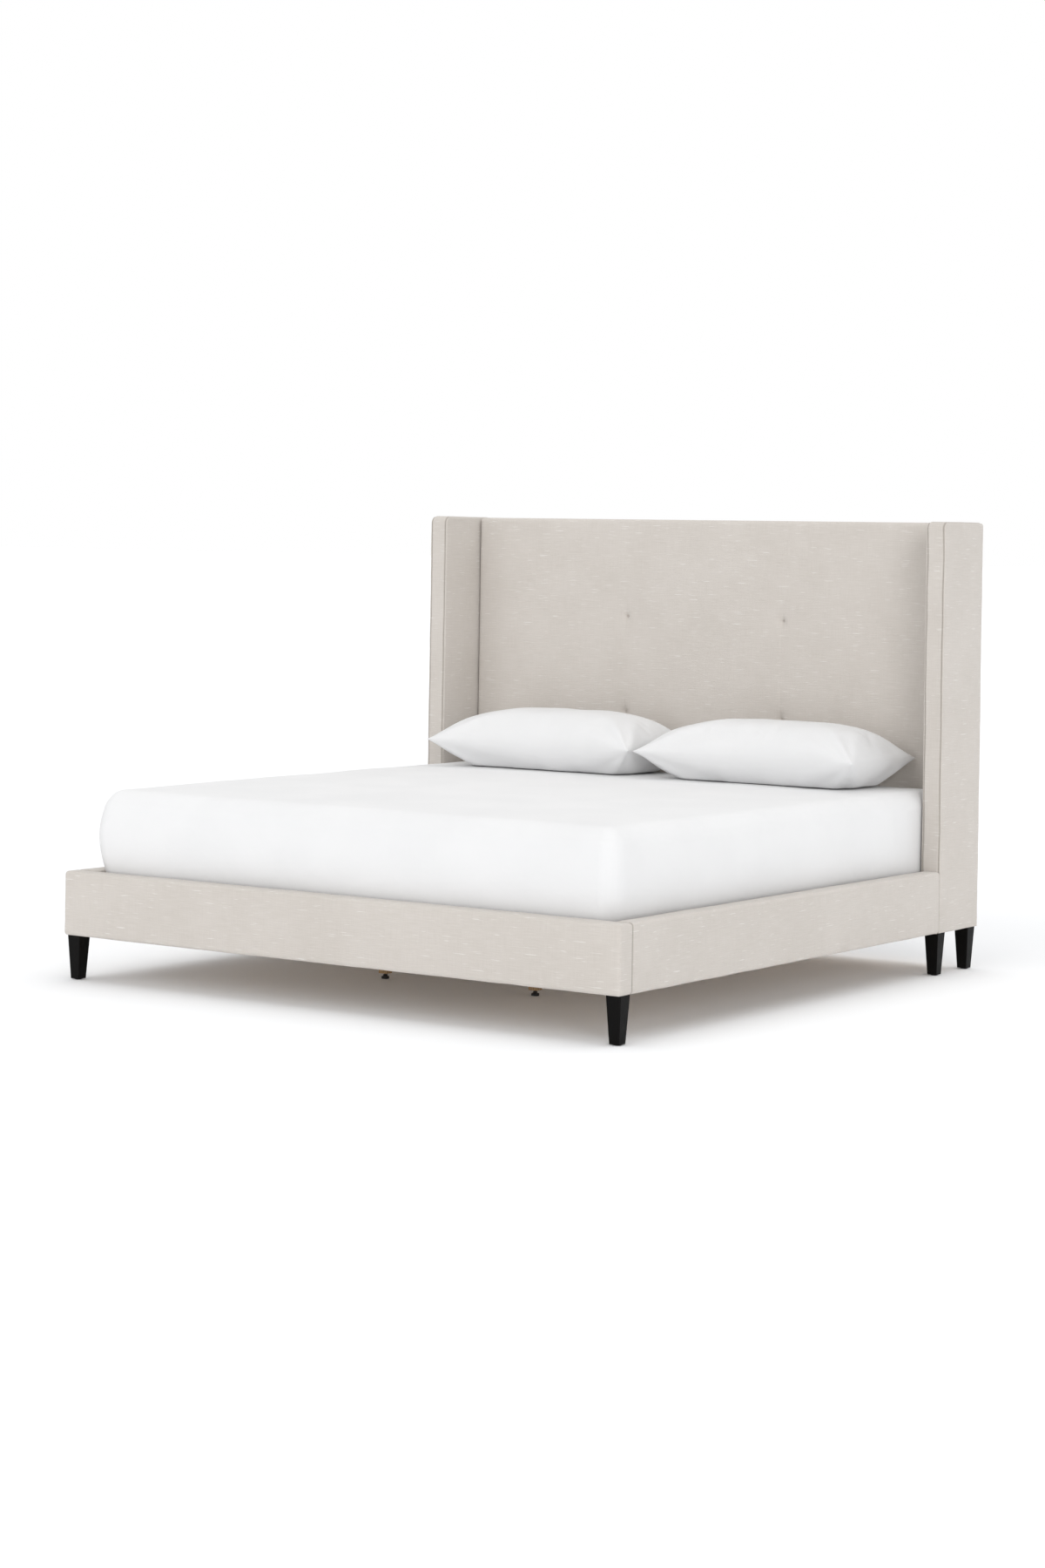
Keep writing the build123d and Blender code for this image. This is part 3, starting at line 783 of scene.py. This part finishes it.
def makeWing(name, node, seed):
    low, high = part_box(node)
    piece = cutWing(name, low, high)
    width = wing["seamWidth"]
    points = roundSides(readPoints(piece), low, high, wing["radius"])
    points = roundNose(points, low, high, wing)
    writePoints(piece, points)
    normals = readNormals(piece)
    shareX = (points[:, 0] - low.x) / (high.x - low.x)
    shareY = (points[:, 1] - low.y) / (high.y - low.y)
    shareZ = (points[:, 2] - low.z) / (high.z - low.z)
    onBand = np.clip(1 - np.abs(normals[:, 0]) * wing["bandEdge"], 0, 1)
    onPanel = np.abs(normals[:, 0])
    outward = wing["bandCrown"] * onBand * swell(shareX, wing["crownPower"])
    full = swell(shareY, wing["crownPower"])
    outward += wing["panelCrown"] * onPanel * full * np.clip(swell(shareZ, wing["topPower"]), 0, 1)
    outward += wing["ripple"] * wander(points, wing["rippleSize"], seed)
    outward += wing["fineShare"] * wing["ripple"] * wander(points, wing["fineSize"], seed + 3)
    seam = np.zeros(len(points))
    for edge, inward in ((low.x, 1), (high.x, -1)):
        distance = points[:, 0] - (edge + inward * wing["seamInset"])
        groove = np.exp(-((distance / width) ** 2))
        seam += groove * onBand
        outward -= wing["seamDepth"] * groove * onBand
        # the cloth stands up a little on both sides of the stitching
        ridge = np.exp(-(((np.abs(distance) - wing["ridgePlace"] * width) / width) ** 2))
        outward += wing["ridgeShare"] * wing["seamDepth"] * ridge * onBand
    points = points + normals * outward[:, None]
    # a sewn seam wanders a little from side to side on its way up
    nearEdge = np.clip(swell(shareX, 2), 0, 1) < wing["wanderWithin"]
    along = np.stack([points[:, 0] * 0, points[:, 1], points[:, 2]], 1)
    drift = wander(along, wing["wanderSize"], seed + 8) * wing["seamWander"]
    points[:, 0] += drift * onBand * nearEdge
    writePoints(piece, points)
    # painted shade along the two seams of the boxing band
    markPaintedShade(piece, seam)
    return piece


for sideName, side in sides.items():
    node = "wing_cover_" + sideName
    wingPiece = makeWing("wing_upholstery_" + sideName, node, 11.0 + side)
    finishPiece(wingPiece, linenCloth, "frame", "upholstery", node)
print("wings made")


pad = {
    "cell": (0.016, 0.016, 0.016),
    "radius": 0.016,
    "steps": (0.0015, 0.004, 0.007, 0.011, 0.016),
    "crown": 0.007,
    "acrossPower": 6,
    "upPower": 5,
    "tieReach": 0.016,
    "tuftSteps": (0.036, 0.026, 0.019, 0.0135, 0.0095, 0.0065, 0.004, 0.002, 0),
    "tuftDepth": 0.017,
    "tuftReach": 0.018,
    "tuftPower": 1.1,
    "tuftSteepness": 1.6,
    "pullDepth": 0.0045,
    "pullReach": 0.095,
    "pullPower": 1.5,
    "tuftShadeShare": 0.55,
    "tuftShadeReach": 0.004,
    "foldDepth": 0.0013,
    "foldWidth": 0.004,
    "foldLength": 0.06,
    "foldPower": 1.3,
    "foldBend": 0.002,
    "foldWaves": 40,
    "foldShift": 9,
    "joinShares": (0.3, 0.8),
    "joinDepth": 0.5,
    "joinWaves": 21,
    "joinWidth": 0.005,
    "joinBend": 0.003,
    "joinLean": 0.01,
    "ripple": 0.0012,
    "rippleSize": 0.21,
    "fineSize": 0.06,
    "fineShare": 0.4,
}
tieLow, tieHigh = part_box("tuft_ties")
tuftX = [tieLow.x + pad["tieReach"], tieHigh.x - pad["tieReach"]]
tuftZ = [tieLow.z + pad["tieReach"], tieHigh.z - pad["tieReach"]]


def cutPad(low, high):
    # a block with closer loops round its edges and round each tuft
    piece = gridBlock("headboard_upholstery", low, high, pad["cell"])
    edgeLoops(piece, low, high, pad["steps"])
    rings = sorted(set(pad["tuftSteps"]) | {-step for step in pad["tuftSteps"]})
    addLoops(piece, 0, [x + step for x in tuftX for step in rings])
    addLoops(piece, 2, [z + step for z in tuftZ for step in rings])
    mergeClose(piece, loopGap)
    return piece


def pullTufts(points, front, inward):
    # adds each tuft's pull to inward, and gives the painted shade at each tuft's centre, strongest nearest
    # it
    tuftShade = np.zeros(len(points))
    for x in tuftX:
        for z in tuftZ:
            across = points[:, 0] - x
            up = points[:, 2] - z
            distance = np.hypot(across, up)
            dimple = (distance / pad["tuftReach"]) ** pad["tuftPower"]
            inward += pad["tuftDepth"] * np.exp(-dimple * pad["tuftSteepness"])
            inward += pad["pullDepth"] * np.exp(-((distance / pad["pullReach"]) ** pad["pullPower"]))
            # small folds run up and down from each tuft and die out
            bent = across + pad["foldBend"] * np.sin(up * pad["foldWaves"] + z * pad["foldShift"])
            fold = np.exp(-((bent / pad["foldWidth"]) ** 2))
            fade = np.exp(-((np.abs(up) / pad["foldLength"]) ** pad["foldPower"]))
            inward += pad["foldDepth"] * (fold * fade)
            # painted shade at the centre of the tuft, on the front only
            tuftShade += pad["tuftShadeShare"] * np.exp(-((distance / pad["tuftShadeReach"]) ** 2)) * front
    return tuftShade


def joinTufts(points, inward):
    # a faint crease runs from each upper tuft down to the one below it
    between = (points[:, 2] > tuftZ[0]) & (points[:, 2] < tuftZ[1])
    for x, share in zip(tuftX, pad["joinShares"]):
        sway = pad["joinBend"] * np.sin(points[:, 2] * pad["joinWaves"])
        bent = points[:, 0] - x + sway + pad["joinLean"] * (tuftZ[1] - points[:, 2])
        crease = np.exp(-((bent / pad["joinWidth"]) ** 2))
        inward += between * pad["foldDepth"] * pad["joinDepth"] * share * crease


def makePad():
    low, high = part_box("headboard_pad")
    piece = cutPad(low, high)
    points = roundOver(readPoints(piece), low, high, pad["radius"])
    writePoints(piece, points)
    front = np.clip(-readNormals(piece)[:, 1], 0, 1)
    share = (points - np.array(low)) / (np.array(high) - np.array(low))
    spread = np.clip(swell(share[:, 0], pad["acrossPower"]), 0, 1)
    spread = spread * np.clip(swell(share[:, 2], pad["upPower"]), 0, 1)
    inward = -pad["crown"] * spread
    tuftShade = pullTufts(points, front, inward)
    joinTufts(points, inward)
    inward -= pad["ripple"] * wander(points, pad["rippleSize"], 30.0)
    inward -= pad["fineShare"] * pad["ripple"] * wander(points, pad["fineSize"], 33.0)
    points[:, 1] += inward * front
    writePoints(piece, points)
    # painted shade in the seams' place here is the tuft centres
    markPaintedShade(piece, tuftShade)
    return piece


padPiece = makePad()
finishPiece(padPiece, linenCloth, "frame", "upholstery", "headboard_pad")
print("headboard pad made")


# the mattress wears a fitted white cover
mattress = {
    "cell": (0.025, 0.025, 0.02),
    "edgeRadius": 0.056,
    "steps": (0.003, 0.009, 0.017, 0.027, 0.04, 0.056),
    "topFall": 0.006,
    "topPower": 3.5,
    "fallPower": 3,
    "sideCrown": 0.02,
    "sidePower": 6,
    "crownFoot": 0.12,
    "crownSpan": 0.8,
    "clearOfWings": (0.6, 0.78),
    "ripple": 0.0022,
    "rippleSize": 0.24,
    "fineSize": 0.09,
    "fineShare": 0.4,
    "sink": 0.5,
}


def makeMattress():
    low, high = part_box("mattress")
    piece = gridBlock("mattress_cover", low, high, mattress["cell"])
    edgeLoops(piece, low, high, mattress["steps"])
    points = roundOver(readPoints(piece), low, high, mattress["edgeRadius"])
    middle = (np.array(low) + np.array(high)) / 2
    half = (np.array(high) - np.array(low)) / 2
    u = (points[:, 0] - middle[0]) / half[0]
    v = (points[:, 1] - middle[1]) / half[1]
    w = (points[:, 2] - low.z) / (high.z - low.z)
    # the top is fullest in the middle, and everything eases down together towards the sides
    bulge = (1 - np.abs(u) ** mattress["topPower"]) * (1 - np.abs(v) ** mattress["topPower"])
    points[:, 2] -= mattress["topFall"] * (1 - bulge) * w ** mattress["fallPower"]
    upSide = np.clip((w - mattress["crownFoot"]) / mattress["crownSpan"], 0, 1)
    fuller = mattress["sideCrown"] * np.clip(np.sin(math.pi * upSide), 0, 1)
    start, end = mattress["clearOfWings"]
    free = 1 - np.clip((v - start) / (end - start), 0, 1)
    points[:, 0] += np.sign(u) * np.abs(u) ** mattress["sidePower"] * fuller * free
    points[:, 1] -= np.clip(-v, 0, 1) ** mattress["sidePower"] * fuller
    writePoints(piece, points)
    normals = readNormals(piece)
    broad = wander(points, mattress["rippleSize"], 50.0)
    fine = mattress["fineShare"] * wander(points, mattress["fineSize"], 52.0)
    outward = mattress["ripple"] * (broad + fine - mattress["sink"])
    writePoints(piece, points + normals * outward[:, None])
    return piece


mattressPiece = makeMattress()
finishPiece(mattressPiece, mattressCloth, "mattress", "mattress_fabric", "mattress")
print("mattress made")


pillow = {
    "cell": 0.011,
    "seamHeight": 0.44,
    "plump": 2.4,
    "plumpLeft": 2.9,
    "plumpRight": 4.6,
    "tipReach": 0.014,
    "edgePower": 0.62,
    "pullIn": 0.035,
    "edgeSqueeze": 1.35,
    "pressure": 5.0,
    "frames": 20,
    "stiffness": 15.0,
    "bendStiffness": 0.5,
    "cap": 0.014,
    "capRoom": 0.8,
    "heldPower": 3,
    "heldShare": 0.9,
    "creaseDepth": 0.0055,
    "creaseCount": 13,
    "creasePower": 1.2,
    "fanCentre": 1.02,
    "fanStretch": 1.8,
    "ripple": 0.003,
    "rippleSize": 0.1,
    "mergeWithin": 0.0004,
    "floorGap": 0.0005,
}


def acrossAndAlong(points, centre, size, reach):
    # where each point lies on the pillow, -1 to 1 from side to side and from foot to head
    across = (points[:, 0] - centre.x) / (size.x / 2 + reach)
    return across, (points[:, 1] - centre.y) / (size.y / 2)


def shapePillow(piece, low, high):
    # fuller towards the middle, flat along the seam, and drawn out into four tips
    size = high - low
    centre = (low + high) / 2
    points = readPoints(piece)
    u, v = acrossAndAlong(points, centre, size, 0)
    top = points[:, 2] > centre.z
    plumpLong = np.where(u < 0, pillow["plumpLeft"], pillow["plumpRight"])
    profile = (1 - np.abs(u) ** plumpLong) * (1 - np.abs(v) ** pillow["plump"])
    profile = np.maximum(profile, 0) ** pillow["edgePower"]
    seamZ = low.z + pillow["seamHeight"] * size.z
    rise = (high.z - seamZ - pillow["capRoom"] * pillow["cap"]) * profile
    drop = (seamZ - low.z) * np.minimum(1, profile * pillow["edgeSqueeze"])
    points[:, 2] = np.where(top, seamZ + rise, seamZ - drop)
    # the sides pull in between the corners
    halfWidth = size.x / 2 + pillow["tipReach"]
    points[:, 0] = centre.x + u * halfWidth * (1 - pillow["pullIn"] * (1 - v ** 2))
    points[:, 1] = centre.y + v * (size.y / 2) * (1 - 2 * pillow["pullIn"] * (1 - u ** 4))
    writePoints(piece, points)
    mergeClose(piece, pillow["mergeWithin"])


def creasePillow(piece, u, v, floorZ, seed):
    # creases fan out from the four corners, where the case is gathered
    corner = np.abs(u * v) ** pillow["creasePower"]
    middle = pillow["fanCentre"]
    spoke = np.arctan2(middle - np.abs(v), (middle - np.abs(u)) * pillow["fanStretch"])
    fan = np.sin(spoke * pillow["creaseCount"] + seed + 2 * np.sign(u) + np.sign(v))
    creased = pillow["creaseDepth"] * corner * (1 - corner) * 3 * fan
    points = readPoints(piece)
    creased += pillow["ripple"] * wander(points, pillow["rippleSize"], seed)
    points = points + readNormals(piece) * creased[:, None]
    points[:, 2] = np.maximum(points[:, 2], floorZ)
    writePoints(piece, points)


def makePillow(name, node, seed):
    low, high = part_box(node)
    piece = gridBlock(name, low, high, (pillow["cell"], pillow["cell"], 1))
    shapePillow(piece, low, high)
    centre = (low + high) / 2
    u, v = acrossAndAlong(readPoints(piece), centre, high - low, pillow["tipReach"])
    u = np.clip(u, -1, 1)
    v = np.clip(v, -1, 1)
    puffUp(piece, pillow, np.abs(u * v) ** pillow["heldPower"])
    creasePillow(piece, u, v, low.z + pillow["floorGap"], seed)
    pick(piece)
    bpy.ops.object.modifier_add(type="SUBSURF")
    piece.modifiers[-1].levels = 1
    piece.modifiers[-1].render_levels = 1
    applyAll(piece)
    return piece


for sideName, side in sides.items():
    node = "pillow_" + sideName
    pillowPiece = makePillow("pillow_case_" + sideName, node, 70.0 + side * 3)
    finishPiece(pillowPiece, pillowCloth, node, "pillow_cotton", node)
print("pillows made")

dressNodes()
